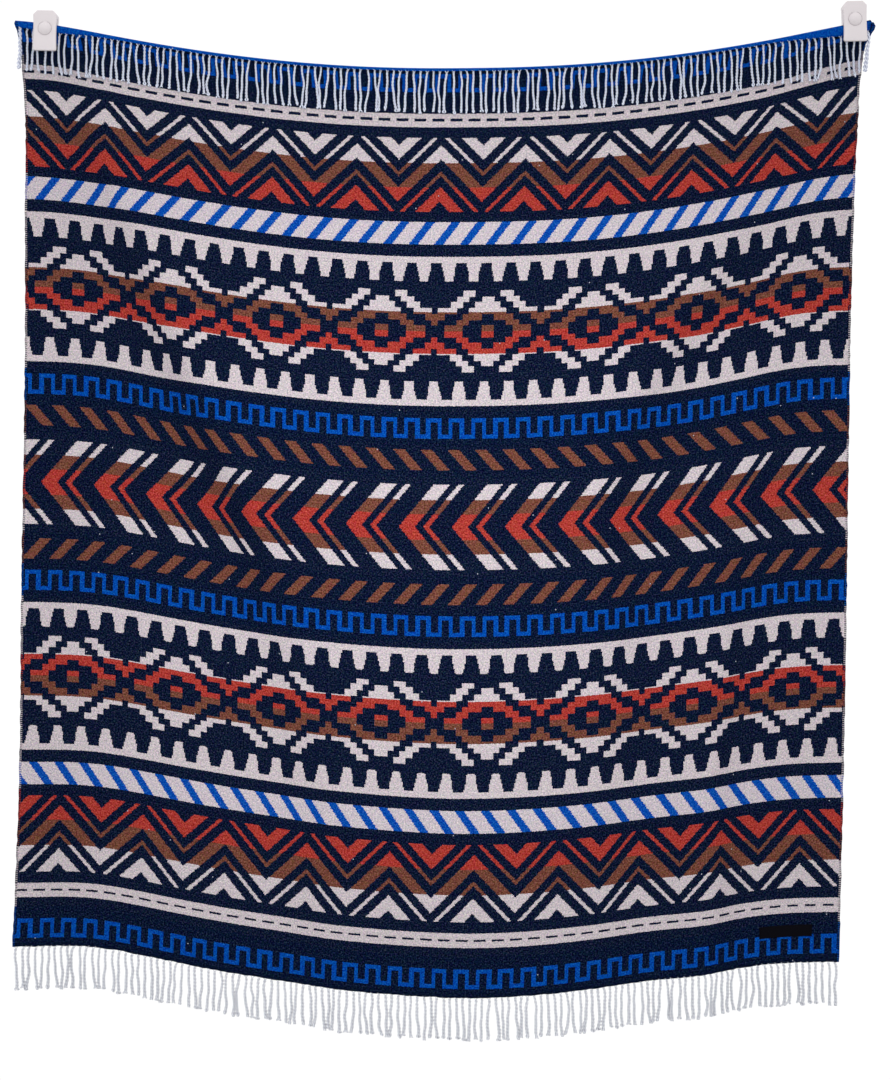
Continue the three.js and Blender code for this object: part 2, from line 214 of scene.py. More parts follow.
# The selvedges and the sag of the picks, at levels measured down from the turned-over top.
SELVEDGES = {
    "down": [0, 30, 75, 130, 265, 560, 850, 1090, 1356],
    "left": [-640, -632, -628, -624, -623, -623, -626, -628, -638],
    "right": [621, 612, 604, 600, 593, 585, 579, 574, 568],
}
SAG_LEFT = {
    "down": [0, 200, 600, 940, 1356],
    "lowest": [-15, -5, 5, 10, 20],
    "rise": [74, 69, 67, 71, 75],
    "top": [-615, -568, -521, -529, -524],
    "power": [1.9, 1.95, 2.05, 1.75, 1.9],
}
SAG_RIGHT = {
    "down": [0, 200, 600, 940, 1356],
    "lowest": [-15, -5, 5, 10, 20],
    "rise": [81, 74, 58, 54, 53],
    "top": [645, 569, 502, 505, 514],
    "power": [2.1, 2.25, 2.3, 1.9, 1.55],
}
SAG_SHARPNESS = 9

# The folds run down and inwards from the clips. A crest stands `lift` forward of the rest.
FOLD_LEVELS = [0, 250, 550, 850, 1356]
FOLDS = {
    "left selvedge": {
        "across": [-640, -626, -625, -628, -640],
        "lift": [2, 14, 22, 36, 40],
        "widths": (80, 80),
    },
    "left pull": {
        "across": [-540, -455, -330, -215, -150],
        "lift": [3, 40, 52, 36, 20],
        "widths": (60, 230),
    },
    "middle": {
        "across": [0, 20, 40, 60, 90],
        "lift": [8, 12, 10, 20, 32],
        "widths": (150, 150),
    },
    "right pull": {
        "across": [540, 420, 238, 215, 205],
        "lift": [3, 16, 32, 26, 12],
        "widths": (180, 55),
    },
    "right low": {
        "across": [560, 520, 440, 392, 372],
        "lift": [2, 8, 8, 22, 26],
        "widths": (60, 38),
    },
    "right selvedge": {
        "across": [621, 596, 587, 581, 570],
        "lift": [2, 12, 18, 32, 34],
        "widths": (80, 80),
    },
}
TURNED_OVER = {
    "share": [0, 0.045, 0.09, 0.15, 0.25, 0.5, 0.75, 0.85, 0.9, 0.945, 0.975, 1],
    "length": [6, 7.5, 3, 1.4, 0.9, 0.6, 0.8, 1.5, 3.2, 9, 12, 11],
}

# Beside the right clip the corner is twisted, and a tip of the dark face shows beyond the turn.
CORNER_TIP = {
    "down": [0, 5, 11, 17, 28],
    "reach": [1.5, 5.5, 6, 4, 0],
    "inner_share": 0.35,
    "turn_drawn_in": 1.5,
}
UNEVEN = 0.7


def between(keys, values, at):
    """A smooth curve through the rows of a table, flat beyond its first and last row."""
    keys = np.asarray(keys, float)
    values = np.asarray(values, float)
    at = np.clip(at, keys[0], keys[-1])
    slopes = np.diff(values) / np.diff(keys)
    before = np.concatenate([slopes[:1], (slopes[:-1] + slopes[1:]) / 2])
    after = np.concatenate([(slopes[:-1] + slopes[1:]) / 2, slopes[-1:]])
    i = np.clip(np.searchsorted(keys, at, side="left") - 1, 0, len(slopes) - 1)
    span = keys[i + 1] - keys[i]
    t = (at - keys[i]) / span
    from_a = values[i] + before[i] * span * t
    from_b = values[i + 1] - after[i] * span * (1 - t)
    return from_a + (from_b - from_a) * t * t * (3 - 2 * t)


def smooth_step(t):
    t = np.clip(t, 0, 1)
    return t * t * (3 - 2 * t)


def rise_at(across, down):
    """How far the cloth stands above the lowest point of its level."""
    lowest = between(SAG_LEFT["down"], SAG_LEFT["lowest"], down)
    rise = 0
    for table, here in ((SAG_LEFT, across < lowest), (SAG_RIGHT, across >= lowest)):
        top = between(table["down"], table["top"], down)
        share = np.maximum((across - lowest) / (top - lowest), 0)
        free = share ** between(table["down"], table["power"], down)
        levelled = free / (1 + free**SAG_SHARPNESS) ** (1 / SAG_SHARPNESS)
        rise = rise + here * levelled * between(table["down"], table["rise"], down)
    return rise


def held_by_clip(across, down):
    """1 inside a clip, easing to 0 where the cloth is free of it."""
    aside = np.maximum(np.abs(np.abs(across) - CLIP_SPREAD) - CLIP_HOLD["half_width"], 0)
    below = np.maximum(down - CLIP_HOLD["low"], 0)
    away = np.hypot(aside / CLIP_HOLD["ease_aside"], below / CLIP_HOLD["ease_below"])
    return 1 - smooth_step(away)


def depth_at(across, down):
    """How far the cloth stands off the wall."""
    depth = REST_DEPTH + 0 * across
    for fold in FOLDS.values():
        aside = across - between(FOLD_LEVELS, fold["across"], down)
        width = np.where(aside < 0, *fold["widths"])
        depth = depth + between(FOLD_LEVELS, fold["lift"], down) * np.exp(-((aside / width) ** 2))
    held = held_by_clip(across, down)
    return depth + (CLIP_DEPTH - depth) * held + (1 - held) * creases_at(across, down)


# Small creases, each from one place to another, on top of the folds.
CREASES = [
    {"start": (-560, 45), "end": (-330, 210), "width": 9, "lift": 1.8},
    {"start": (-568, 70), "end": (-440, 330), "width": 12, "lift": 2.6},
    {"start": (-585, 90), "end": (-540, 420), "width": 10, "lift": -1.6},
    {"start": (560, 45), "end": (360, 190), "width": 10, "lift": 1.7},
    {"start": (566, 75), "end": (450, 300), "width": 12, "lift": 2.4},
    {"start": (582, 90), "end": (545, 420), "width": 9, "lift": -1.5},
    {"start": (-120, 610), "end": (90, 640), "width": 30, "lift": 1.6},
    {"start": (120, 905), "end": (330, 860), "width": 34, "lift": -2.2},
    {"start": (-420, 880), "end": (-190, 950), "width": 30, "lift": 2.0},
]


def creases_at(across, down):
    depth = 0
    for crease in CREASES:
        start, end = np.array(crease["start"], float), np.array(crease["end"], float)
        along = end - start
        reach = np.hypot(*along)
        along = along / reach
        way = ((across - start[0]) * along[0] + (down - start[1]) * along[1]) / reach
        aside = (across - start[0]) * along[1] - (down - start[1]) * along[0]
        strength = smooth_step(way * 4) * smooth_step((1 - way) * 2)
        depth = depth + crease["lift"] * strength * np.exp(-((aside / crease["width"]) ** 2))
    return depth


def surface_points(across, down):
    height = TURN_LOW - down + rise_at(across, down)
    return np.stack([across, -depth_at(across, down), height + 0 * across], axis=-1)


def across_at_shares(shares, down):
    """The picks keep their length, so they bunch up where the cloth folds."""
    left = between(SELVEDGES["down"], SELVEDGES["left"], down)
    right = between(SELVEDGES["down"], SELVEDGES["right"], down)
    places = left + (right - left) * np.linspace(0, 1, MEASURED_PLACES)
    steps = np.linalg.norm(np.diff(surface_points(places, down), axis=0), axis=1)
    lengths = np.concatenate([[0], np.cumsum(steps)])
    return np.interp(shares * lengths[-1], lengths, places)


def turned_length(shares):
    return between(TURNED_OVER["share"], TURNED_OVER["length"], shares)


def turned_row(shares, turn, drop):
    """A row on the turned-over end, `turn` of a half circle round and then `drop` down."""
    across = across_at_shares(shares, 0.0) * (1 - DRAWN_IN * turn)
    beside = surface_points(across + 1, 0.0) - surface_points(across - 1, 0.0)
    forward = np.stack([beside[:, 1], -beside[:, 0], 0 * across], axis=-1)
    forward /= np.linalg.norm(forward, axis=1, keepdims=True)
    angle = math.pi * turn
    row = surface_points(across, 0.0) + TURN_RADIUS * (1 - math.cos(angle)) * forward
    row[:, 2] += TURN_RADIUS * math.sin(angle) - drop
    return row


def main_row(shares, down):
    return surface_points(across_at_shares(shares, down), down)


CLOTH_COLUMNS = 196
CLOTH_ROWS = 204
TURN_ROWS = 9
ROWS_BEFORE_TURN = (0, 0.4, 0.75)
WIDER_LOW = 0.2
EVEN_BELOW = 200
cloth_shares = np.linspace(0, 1, CLOTH_COLUMNS + 1)
turned = turned_length(cloth_shares) + LAST_PICKS
turn_arc = math.pi * TURN_RADIUS
top_pick = turned + turn_arc
even_pick = CLOTH_LENGTH - (CLOTH_HANG + LAST_PICKS)

turned_rows, turned_picks = [], []
for part in ROWS_BEFORE_TURN:
    turned_rows.append(turned_row(cloth_shares, 1, turned * (1 - part)))
    turned_picks.append(turned * part)
for turn in np.arange(TURN_ROWS, 0, -1) / TURN_ROWS:
    turned_rows.append(turned_row(cloth_shares, turn, 0))
    turned_picks.append(turned + turn_arc * (1 - turn))
turned_rows = np.array(turned_rows)

row_shares = np.linspace(0, 1, CLOTH_ROWS + 1)
row_downs = (CLOTH_HANG + LAST_PICKS) * ((1 - WIDER_LOW) * row_shares + WIDER_LOW * row_shares**2)
main_rows, main_picks = [], []
for down in row_downs:
    main_rows.append(main_row(cloth_shares, min(down, CLOTH_HANG)))
    main_rows[-1][:, 2] -= max(down - CLOTH_HANG, 0)
    main_picks.append(down + top_pick + (even_pick - top_pick) * smooth_step(down / EVEN_BELOW))
main_rows = np.array(main_rows)

tip = between(CORNER_TIP["down"], CORNER_TIP["reach"], row_downs)
main_rows[:, -1, 0] += tip
main_rows[:, -2, 0] += tip * CORNER_TIP["inner_share"]
turned_rows[:, -1, 0] -= CORNER_TIP["turn_drawn_in"]
middle = np.concatenate([turned_rows, main_rows])
picks = np.array(turned_picks + main_picks)

# The selvedges and the hem are a little uneven, as picks turn back and the last ends work loose.
unevenness = np.random.default_rng(8)
for column in (0, -1):
    middle[:, column, 0] += UNEVEN * (2 * unevenness.random(len(middle)) - 1)
middle[-1, :, 2] += UNEVEN * (2 * unevenness.random(CLOTH_COLUMNS + 1) - 1)

outward = np.cross(np.gradient(middle, axis=0), np.gradient(middle, axis=1))
outward /= np.linalg.norm(outward, axis=2, keepdims=True)
half = outward * CLOTH_THICKNESS / 2
corners = np.concatenate([(middle + half).reshape(-1, 3), (middle - half).reshape(-1, 3)])


def sheet_faces(rows, columns):
    """Faces of a thin closed sheet: its face, its back and the rim between them."""
    layer = rows * columns
    grid = np.arange(layer).reshape(rows, columns)
    face = np.stack([grid[:-1, :-1], grid[1:, :-1], grid[1:, 1:], grid[:-1, 1:]], -1).reshape(-1, 4)
    rim = np.concatenate([grid[0, :], grid[1:, -1], grid[-1, -2::-1], grid[-2:0:-1, 0]])
    rim_next = np.roll(rim, -1)
    rim = np.stack([rim, rim_next, rim_next + layer, rim + layer], -1)
    return np.concatenate([face, face[:, ::-1] + layer, rim])


def mesh_piece(name, points, faces, materials, slots=None):
    """An object from points in millimetres, with smooth faces."""
    mesh = bpy.data.meshes.new(name)
    mesh.from_pydata((np.asarray(points) * mm).tolist(), [], [list(map(int, f)) for f in faces])
    for material in materials:
        mesh.materials.append(material)
    if slots is not None:
        mesh.polygons.foreach_set("material_index", np.asarray(slots, np.int32))
    mesh.shade_smooth()
    piece = bpy.data.objects.new(name, mesh)
    bpy.context.scene.collection.objects.link(piece)
    return piece


# The design is woven in, not printed. Two layers of yarn change places between the face and the
# back, and the weft of the bright layer changes colour from band to band. It is drafted here in
# millimetres across the piece and inwards from each end, and the brushing softens its edges.


def repeat(across, pitch):
    """How far a place lies from the middle of its repeat, to either side."""
    return abs((across / pitch) % 1 - 0.5) * pitch


def battlement(across, inwards, height):
    pitch = CLOTH_WIDTH / 38
    line = 6
    turn = (across / pitch + 0.25) % 1
    outer_rail = (turn < 0.5) & (inwards < line)
    inner_rail = (turn > 0.5) & (inwards > height - line)
    riser = abs((turn * 2 + 0.5) % 1 - 0.5) < line / pitch
    return outer_rail | inner_rail | riser


def dashes(across, inwards, height):
    pitch = CLOTH_WIDTH / 47
    line = 4.2
    dash_share = 0.66
    dash = (across / pitch) % 1 < dash_share
    channel = abs(inwards - height / 2) < line / 2
    return (dash & channel).rest()


def zigzags(across, inwards, height):
    spacing = 64
    slope = 1.02
    level = inwards + repeat(across, CLOTH_WIDTH / 10) * slope
    lines = []
    for offset, line in ((9, 21.6), (40, 6.8)):
        lines.append(abs((level + offset) % spacing - spacing / 2) < line / 2)
    thick, thin = lines
    return thick | thin


def bars(across, inwards, count, slant, share):
    """Slanted bars, `count` across the piece, that take up a share of their band."""
    return ((across - inwards * slant) / (CLOTH_WIDTH / count)) % 1 < share


def slanted_bars(across, inwards, height):
    return bars(across, inwards, count=31, slant=0.9, share=0.42)


def bars_cut_out(across, inwards, height):
    return bars(across, inwards, count=33, slant=-0.75, share=0.36).rest()


def teeth_inwards(across, inwards, height):
    rail = 9
    step = 7
    widest, taper = 12.8, 0.2
    half_tooth = inwards.stepped(step) * -taper + widest
    return (inwards < rail) | (repeat(across, CLOTH_WIDTH / 34) < half_tooth)


def teeth_outwards(across, inwards, height):
    return teeth_inwards(across + CLOTH_WIDTH / 68, inwards * -1 + height, height)


def within(value, low, high):
    return (value > low) & (value < high)


def stepped_diamonds(across, inwards, height):
    """A small diamond, a ring round it and the arms of a larger ring, all in square steps."""
    period = CLOTH_WIDTH / 8
    aside = repeat(across, period).stepped(period / 17)
    away = abs(inwards - height / 2).stepped(height / 14)
    ring = aside / (period / 2) + away / (height / 2)
    return (ring < 0.2) | within(ring, 0.53, 0.86) | within(ring, 1.13, 1.4)


def arrowheads(across, inwards, height):
    """A thick arrowhead and a thin one behind it. The mirrored half of the throw closes them."""
    slant = 0.85
    place = ((across + inwards * slant) / (CLOTH_WIDTH / 16)) % 1
    return (place < 0.3) | within(place, 0.46, 0.57)


STUDIO_LIGHT = 1.4


def dye(*tone):
    """The colour of a yarn that shows as this tone, 0 to 255, in the light of the studio."""
    return tuple(value / STUDIO_LIGHT for value in linear(*tone))


NAVY = dye(5, 21, 48)
BLUE = dye(0, 75, 172)
CREAM = dye(212, 201, 206)
BROWN = dye(119, 71, 56)
RUST = dye(176, 60, 51)

# The bands from the hem to the middle of the throw. From there they come again in reverse.
# Between two motifs the bright weft changes colour unseen, under plain ground.
BANDS = [
    {"height": 13},
    {"height": 28, "motif": battlement, "weft": [BLUE]},
    {"height": 32},
    {"height": 21, "motif": dashes, "weft": [CREAM]},
    {"height": 17},
    {"height": 112, "motif": zigzags, "weft": [CREAM, BROWN, RUST]},
    {"height": 16},
    {"height": 33, "motif": bars_cut_out, "weft": [CREAM], "ground": BLUE},
    {"height": 18},
    {"height": 36, "motif": teeth_inwards, "weft": [CREAM]},
    {"height": 13},
    {"height": 120, "motif": stepped_diamonds, "weft": [CREAM, BROWN, RUST, CREAM]},
    {"height": 13},
    {"height": 36, "motif": teeth_outwards, "weft": [CREAM]},
    {"height": 18},
    {"height": 30, "motif": battlement, "weft": [BLUE]},
    {"height": 17},
    {"height": 30, "motif": slanted_bars, "weft": [BROWN]},
    {"height": 21},
    {"height": 62, "motif": arrowheads, "weft": [CREAM, BROWN, RUST]},
]
END_SPACING = 1.8
PICK_SPACING = 1.5
SELVEDGE = 3.2
NAP_REACH = 1.1
FIBRE_COLOUR = 0.25
GRAIN_AND_PAINTED_SHADE_STRENGTH = 0.24
SHOWS_THROUGH = {"ground": 0.152, "weft": 0.008}
TURNED_PICK = 0.7
RELIEF = {"hump": 0.9, "uneven": 0.3, "proud": 0.3}
LINT = {"per_metre": 60, "chosen": 0.985, "radius": 0.05, "tone": (186, 190, 202)}
SCREEN_GAMMA = 2.2


def weft_changes():
    """Where the bright weft changes colour, in millimetres inwards from the hem."""
    changes = []
    start = 0
    gap = 0
    for band in BANDS:
        if "motif" in band:
            tones = band["weft"]
            for i, tone in enumerate(tones):
                place = start + band["height"] * i / len(tones) - (gap / 2 if i == 0 else 0)
                if not changes or changes[-1][1] != tone:
                    changes.append((place, tone))
        start += band["height"]
        gap = 0 if "motif" in band else band["height"]
    return changes


def weft_tones(tree, inwards):
    changes = weft_changes()
    ramp = tree.nodes.new("ShaderNodeValToRGB")
    ramp.color_ramp.interpolation = "CONSTANT"
    ramp.color_ramp.elements.remove(ramp.color_ramp.elements[1])
    ramp.color_ramp.elements[0].color = (*changes[0][1], 1)
    for place, tone in changes[1:]:
        ramp.color_ramp.elements.new(place / (CLOTH_LENGTH / 2)).color = (*tone, 1)
    tree.links.new((inwards / (CLOTH_LENGTH / 2)).socket, ramp.inputs["Fac"])
    return ramp.outputs["Color"]


def noise_node(tree, place, scale, detail=2.0, roughness=0.5):
    noise = tree.nodes.new("ShaderNodeTexNoise")
    noise.inputs["Scale"].default_value = scale
    noise.inputs["Detail"].default_value = detail
    noise.inputs["Roughness"].default_value = roughness
    tree.links.new(place, noise.inputs["Vector"])
    return noise


def laid_flat_place(tree):
    place = tree.nodes.new("ShaderNodeUVMap")
    place.uv_map = "laid_flat"
    return place.outputs["UV"]


def mixed(tree, share, first, second, blend="MIX"):
    """The colour between two others. Each of the three is another node's output or fixed."""
    mix = tree.nodes.new("ShaderNodeMix")
    mix.data_type = "RGBA"
    mix.blend_type = blend
    mix.clamp_result = True
    for name, value in (("Factor", share), ("A", first), ("B", second)):
        if isinstance(value, bpy.types.NodeSocket):
            tree.links.new(value, mix.inputs[name])
        else:
            mix.inputs[name].default_value = value
    return mix.outputs["Result"]


def woven_bands(end, inwards):
    """Where the bright layer lies on the face, and where the ground is blue."""
    face = 0
    blue_ground = 0
    start = 0
    for band in BANDS:
        if "motif" in band:
            inside = within(inwards, start, start + band["height"])
            face = (inside & band["motif"](end, inwards - start, band["height"])) + face
            if "ground" in band:
                blue_ground = inside + blue_ground
        start += band["height"]
    return face, blue_ground


def bound_layers(face, chance, nap):
    """The two layers are bound together, so that a little of the hidden one shows everywhere."""
    bound = chance * chance * nap * 2
    both = SHOWS_THROUGH["ground"] + SHOWS_THROUGH["weft"]
    return face + bound * (face * -both + SHOWS_THROUGH["weft"])


def turned_picks_at_selvedges(shown, across, pick):
    """At the selvedges every other pair of picks turns back and shows the hidden layer."""
    near_selvedge = (across < SELVEDGE) | (across > CLOTH_WIDTH - SELVEDGE)
    turning = near_selvedge & ((pick / (2 * PICK_SPACING)) % 1 < 0.5)
    return shown + turning * (shown * -2 + 1) * TURNED_PICK


def weave_relief(across, pick, face, chance, nap):
    """A hump at each crossing of an end and a pick, with the bright layer a little proud."""
    between_ends = (across / END_SPACING) % 1 - 0.5
    between_picks = (pick / PICK_SPACING) % 1 - 0.5
    humps = (between_ends * between_ends + between_picks * between_picks) * -RELIEF["hump"]
    return humps + chance * RELIEF["uneven"] + face * RELIEF["proud"] + nap


def lint_specks(tree, laid):
    """A speck of pale lint clings to the nap here and there."""
    specks = tree.nodes.new("ShaderNodeTexVoronoi")
    specks.voronoi_dimensions = "2D"
    specks.inputs["Scale"].default_value = LINT["per_metre"]
    tree.links.new(laid, specks.inputs["Vector"])
    chosen = split(tree, specks.outputs["Color"], "Color")[0] > LINT["chosen"]
    return chosen & (Draft(specks.outputs["Distance"]) < LINT["radius"])


def chance_at_crossings(tree, across, pick):
    """A number from 0 to 1 for each crossing of an end and a pick."""
    cells = tree.nodes.new("ShaderNodeCombineXYZ")
    tree.links.new((across / END_SPACING).reckon("FLOOR").socket, cells.inputs["X"])
    tree.links.new((pick / PICK_SPACING).reckon("FLOOR").socket, cells.inputs["Y"])
    chance = tree.nodes.new("ShaderNodeTexWhiteNoise")
    chance.noise_dimensions = "2D"
    tree.links.new(cells.outputs["Vector"], chance.inputs["Vector"])
    return Draft(chance.outputs["Value"])


def give_out(tree, results):
    """Makes the named results the outputs of a group of nodes."""
    for name, socket in results.items():
        kind = "Color" if socket.type == "RGBA" else "Float"
        tree.interface.new_socket(name, in_out="OUTPUT", socket_type="NodeSocket" + kind)
    output = tree.nodes.new("NodeGroupOutput")
    for name, socket in results.items():
        tree.links.new(socket, output.inputs[name])


def weaving_draft():
    """Works out, at every place of the cloth, which layer lies on the face, and its colours."""
    tree = bpy.data.node_groups.new("weaving_draft", "ShaderNodeTree")
    laid = laid_flat_place(tree)
    across, pick = [part / mm for part in split(tree, laid)[:2]]
    chance = chance_at_crossings(tree, across, pick)

    # The brushed nap carries the edges of the motifs a little way to either side.
    brushing = noise_node(tree, laid, scale=520)
    nap = Draft(brushing.outputs["Fac"])
    aside, ahead, _ = split(tree, brushing.outputs["Color"], "Color")
    end = (across + (aside - 0.5) * 2 * NAP_REACH).stepped(END_SPACING)
    half_length = CLOTH_LENGTH / 2
    from_hem = (pick + (ahead - 0.5) * 2 * NAP_REACH).stepped(PICK_SPACING)
    inwards = abs(from_hem - half_length) * -1 + half_length
    face, blue_ground = woven_bands(end, inwards)

    # Tufts of the nap, about two millimetres wide, are painted a little lighter or darker as painted
    # light and shade. Fibres of the other colours are carded into every yarn, so the tufts differ a
    # little in colour too.
    tufts = noise_node(tree, laid, scale=450, detail=0.6)

    shown = turned_picks_at_selvedges(bound_layers(face, chance, nap), across, pick)
    results = {
        "Weft on face": shown.socket,
        "Weft": weft_tones(tree, inwards),
        "Ground": mixed(tree, blue_ground.socket, (*NAVY, 1), (*BLUE, 1)),
        "Relief": weave_relief(across, pick, face, chance, nap).socket,
        "Grain": mixed(tree, FIBRE_COLOUR, tufts.outputs["Fac"], tufts.outputs["Color"]),
        "Lint": lint_specks(tree, laid).socket,
    }
    give_out(tree, results)
    return tree


def with_gamma(tree, colour, gamma):
    changed = tree.nodes.new("ShaderNodeGamma")
    changed.inputs["Gamma"].default_value = gamma
    tree.links.new(colour, changed.inputs["Color"])
    return changed.outputs["Color"]


def with_grain_and_painted_shade(tree, tones, grain):
    """The grain, with the tufts' painted light and shade, is as plain to see on dark yarns as on
    pale ones, so it is added to the tones as the eye takes them in, and then they are turned back
    into light."""
    seen = with_gamma(tree, tones, 1 / SCREEN_GAMMA)
    grained = mixed(tree, GRAIN_AND_PAINTED_SHADE_STRENGTH, seen, grain, "LINEAR_LIGHT")
    return with_gamma(tree, grained, SCREEN_GAMMA)


def raise_surface(tree, shader, height, strength, distance):
    """Relief too fine for the mesh, `distance` millimetres deep."""
    bump = tree.nodes.new("ShaderNodeBump")
    bump.inputs["Strength"].default_value = strength
    bump.inputs["Distance"].default_value = distance * mm
    tree.links.new(height, bump.inputs["Height"])
    tree.links.new(bump.outputs["Normal"], shader.inputs["Normal"])


def double_cloth(name, draft_group, back):
    """The cloth's face, or its back, where the two layers change places."""
    material, shader, tree = new_finish(name, roughness=0.92, specular=0.02)
    draft = tree.nodes.new("ShaderNodeGroup")
    draft.node_tree = draft_group
    layers = [draft.outputs["Ground"], draft.outputs["Weft"]]
    if back:
        layers.reverse()
    tones = mixed(tree, draft.outputs["Weft on face"], *layers)
    # The tufts' painted light and shade, with their colour, are added to the tones.
    tones = with_grain_and_painted_shade(tree, tones, draft.outputs["Grain"])
    tones = mixed(tree, draft.outputs["Lint"], tones, (*dye(*LINT["tone"]), 1))
    tree.links.new(tones, shader.inputs["Base Color"])
    raise_surface(tree, shader, draft.outputs["Relief"], strength=0.6, distance=0.5)
    return material


weave = weaving_draft()
cloth_face = double_cloth("cloth_face", weave, back=False)
cloth_back = double_cloth("cloth_back", weave, back=True)
cloth_faces = sheet_faces(*middle.shape[:2])
face_slots = np.ones(len(cloth_faces), int)
face_slots[: (middle.shape[0] - 1) * (middle.shape[1] - 1)] = 0
throw_cloth = mesh_piece("throw_cloth", corners, cloth_faces, [cloth_face, cloth_back], face_slots)

laid_flat = np.stack([cloth_shares * CLOTH_WIDTH + 0 * picks, picks], -1).reshape(-1, 2) * mm
laid_flat = np.concatenate([laid_flat, laid_flat])
flat_map = throw_cloth.data.uv_layers.new(name="laid_flat")
loop_points = np.zeros(len(throw_cloth.data.loops), np.int32)
throw_cloth.data.loops.foreach_get("vertex_index", loop_points)
flat_map.data.foreach_set("uv", laid_flat[loop_points].ravel())

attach(throw_cloth, "root")
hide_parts("blanket")

# Each fringe is the ends of the warp itself. Two plies of yarn, a few millimetres apart where they
# leave the cloth, are twisted round each other into one strand. It fills out towards its tip, where
# the twist loosens and the plies part again in a small frayed knob.

STRANDS = 130
STRAND_LENGTH = 61
STRAND_RADIUS = 1.8
STRAND_CLEARANCE = 1
STRIP_HEIGHT = 3
LEAST_SPACE = 4.6
GATHER = 3.6
SCATTER = 6.5
BOW = 5
STRAND_STATIONS = np.array([0, 0.3, 0.65, 1])
PLY_SIDES = 6
PLY_STEPS = 56
WANDER = 1.9
LATE_DRIFT = 1.6
ROOT = {"rise": 2.2, "rise_share": 1 / 3, "hook": 3.4, "hook_share": 1 / 9}
# The yarn's tone: uneven fibres, plus painted light where a strand faces front or back and painted
# shade to its sides.
YARN_TONE_AND_PAINTED_SHADE = {"fibres": 0.9, "front": 0.75, "level": -0.35}
YARN = {"spread": 2.2, "untwisted": 2, "joined": 6, "pitch": 9, "offset": 1.02, "radius": 0.92}
TIP = {"frayed": 7, "apart": 1.3, "knob_up": 2.4, "knob_reach": 1.8, "round": 1.2}
GIRTHS = {"upper": 1, "lower": 1.24, "corner": 1.75}
CORNER_LEAN = -6


def number_source(seed):
    """The same numbers every time, from 0 to 1."""
    state = seed
    while True:
        state = state * 16807 % 2147483647
        yield state / 2147483647


def drawn(numbers, low, high):
    return low + (high - low) * next(numbers)


def flat_circle(sides):
    around = np.arange(sides) * 2 * math.pi / sides
    return np.stack([np.cos(around), -np.sin(around), 0 * around], 1)


def tip_places(roots, numbers):
    """Neighbours lean together in twos and threes, but their tips stay apart."""
    tips = []
    for i, root in enumerate(roots):
        together = (1, 0, -1)[i % 3] * GATHER * next(numbers)
        tips.append(root[0] + together + SCATTER * drawn(numbers, -0.5, 0.5))
    for i in range(1, len(tips)):
        tips[i] = max(tips[i], tips[i - 1] + LEAST_SPACE)
    return tips


def strand_path(root, tip, length, bow, hook, stand_off):
    """A strand leaves the cloth with a hook, bows to one side and drifts towards its tip."""
    t = STRAND_STATIONS
    x = root[0] + (tip - root[0]) * t**LATE_DRIFT + bow * np.sin(math.pi * t)
    y = root[1] - stand_off(root, x, length * t)
    points = np.stack([x, y, root[2] - length * t], axis=1)
    curve = np.polyfit(t, points, 3)
    steps = np.linspace(0, 1, PLY_STEPS)[:, None]
    path = ((curve[0] * steps + curve[1]) * steps + curve[2]) * steps + curve[3]
    path[:, 2] += ROOT["rise"] * (1 - smooth_step(steps[:, 0] / ROOT["rise_share"]))
    path[:, 0] += hook * (1 - smooth_step(steps[:, 0] / ROOT["hook_share"]))
    return path


def ply_thickness(below, length, girth, joined, looks):
    """A strand fills out towards its tip, where it frays into a small knob."""
    above_tip = length - below
    fullness = girth * (0.84 + 0.34 * below / length)
    frayed = smooth_step(1 - above_tip / TIP["frayed"]) * next(looks)
    knob = np.exp(-(((above_tip - TIP["knob_up"]) / TIP["knob_reach"]) ** 2))
    knob = knob * drawn(looks, 0.15, 0.45)
    end = np.sqrt(np.clip(above_tip / TIP["round"], 0.02, 1))
    radius = YARN["radius"] * fullness * (0.8 + 0.2 * joined + knob) * end
    return fullness, frayed, radius


def strand_sway(below, length, phase, joined, looks):
    """It hangs in one or two slow waves and many small ones."""
    waves = drawn(looks, 0.8, 1.7)
    sway = np.sin(2 * math.pi * (below / length * waves + next(looks)))
    sway = (sway - sway[0]) * WANDER * drawn(looks, -0.35, 0.65) * joined
    return sway + 0.35 * np.sin(below / 4.1 + phase) * joined


def two_plies(path, length, girth, looks):
    """The rings of points of the two plies of one strand."""
    below = np.linspace(0, length, PLY_STEPS)
    joined = smooth_step(below / YARN["joined"])
    phase = 2 * math.pi * next(looks)
    pitch = YARN["pitch"] * math.sqrt(girth)
    turn = 2 * math.pi * np.maximum(below - YARN["untwisted"], 0) / pitch + phase * joined
    fullness, frayed, radius = ply_thickness(below, length, girth, joined, looks)
    sway = strand_sway(below, length, phase, joined, looks)

    # A thick strand stands further forward.
    forward = 2 * STRAND_RADIUS * max(girth - 1.1, 0) * joined
    ring = flat_circle(PLY_SIDES)
    plies = []
    for side in (1, -1):
        reach = side * (YARN["spread"] * (1 - joined) + YARN["offset"] * fullness**0.8 * joined)
        aside = reach * np.cos(turn) + sway + side * TIP["apart"] * frayed
        centre = path + np.stack([aside, reach * np.sin(turn) - forward, 0 * turn], 1)
        plies.append(centre[:, None] + ring[None] * radius[:, None, None])
    return plies


def tube_faces(tubes, steps, sides):
    """Faces of a number of tubes, all of as many rings and as many sides, with closed ends."""
    ring = np.arange(sides)
    step = np.arange(steps - 1)[:, None] * sides
    quads = np.stack([step + ring, step + (ring + 1) % sides], -1).reshape(-1, 2)
    quads = np.concatenate([quads, quads[:, ::-1] + sides], 1)
    faces = []
    for start in np.arange(tubes) * steps * sides:
        faces.extend((quads + start).tolist())
        faces.append((ring[::-1] + start).tolist())
        faces.append((ring + start + (steps - 1) * sides).tolist())
    return faces


